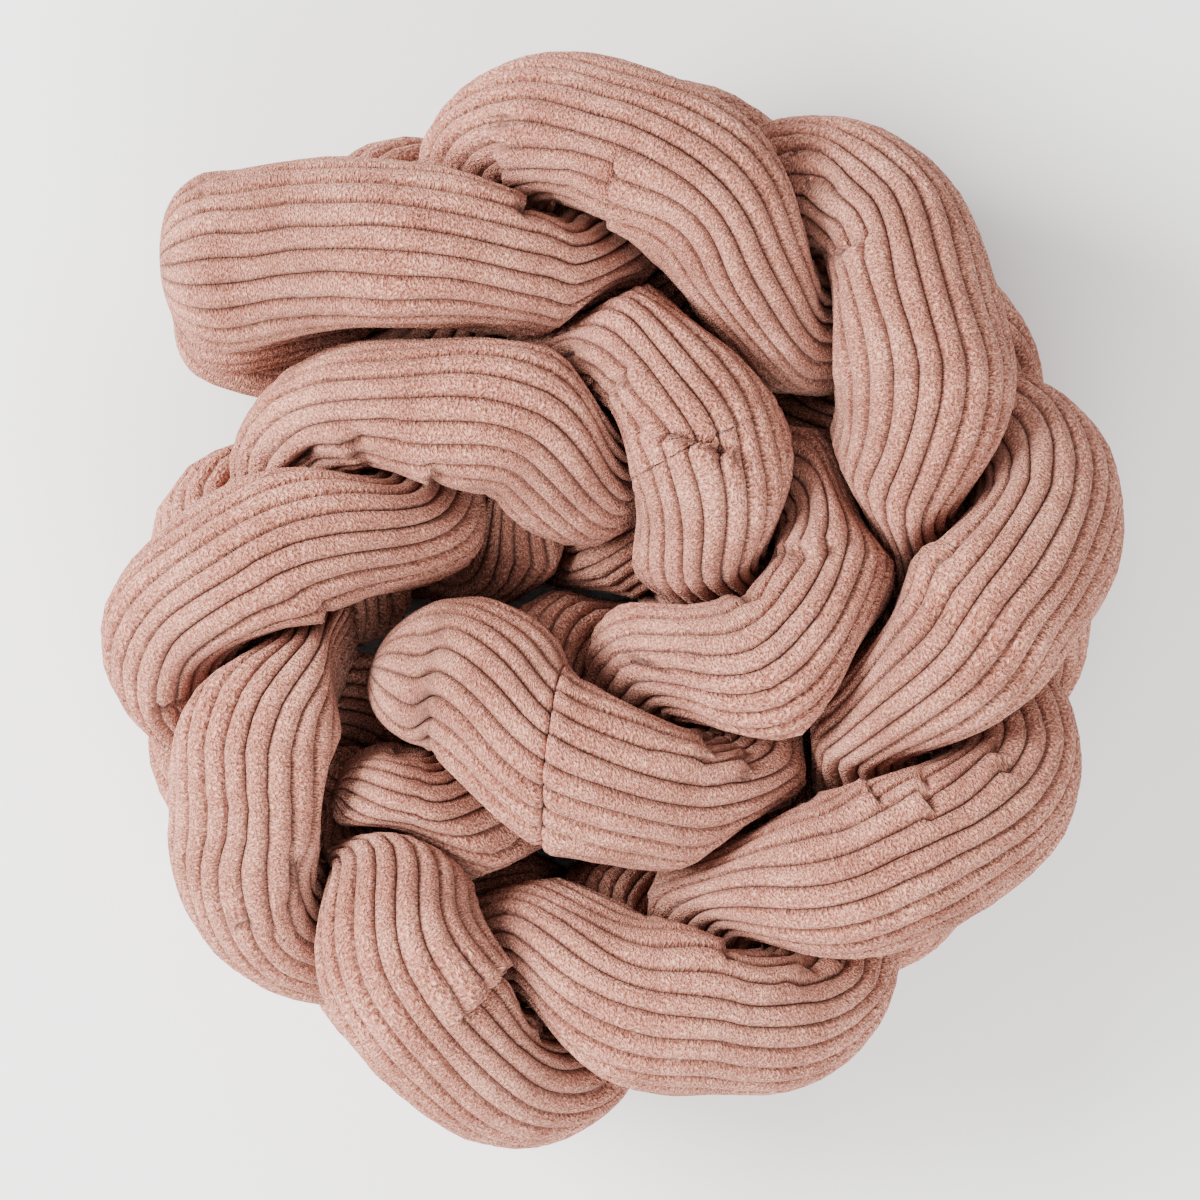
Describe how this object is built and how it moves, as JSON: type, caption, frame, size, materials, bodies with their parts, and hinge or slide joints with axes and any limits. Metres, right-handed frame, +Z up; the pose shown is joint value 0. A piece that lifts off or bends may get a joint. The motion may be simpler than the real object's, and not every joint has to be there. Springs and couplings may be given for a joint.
{
  "type": "braided crib bumper",
  "caption": "Plait of stuffed corduroy tubes, stood on its edge and wound in a loose coil, for padding the inside of a crib.",
  "frame": {"origin": "on the floor, under the middle of the coil's box", "axes": "+Z up, across the plait's width; +X from the plait's outer end towards the far side of the coil; +Y towards the side where the outer end lies"},
  "size_m": [0.4652, 0.4984, 0.1886],
  "materials": {
    "corduroy": "dusty rose wide-wale corduroy with a soft velvety pile"
  },
  "bodies": {
    "root": {"strand_1_long": "corduroy", "strand_1_end": "corduroy", "strand_2": "corduroy", "strand_3": "corduroy"}
  },
  "joints": []
}
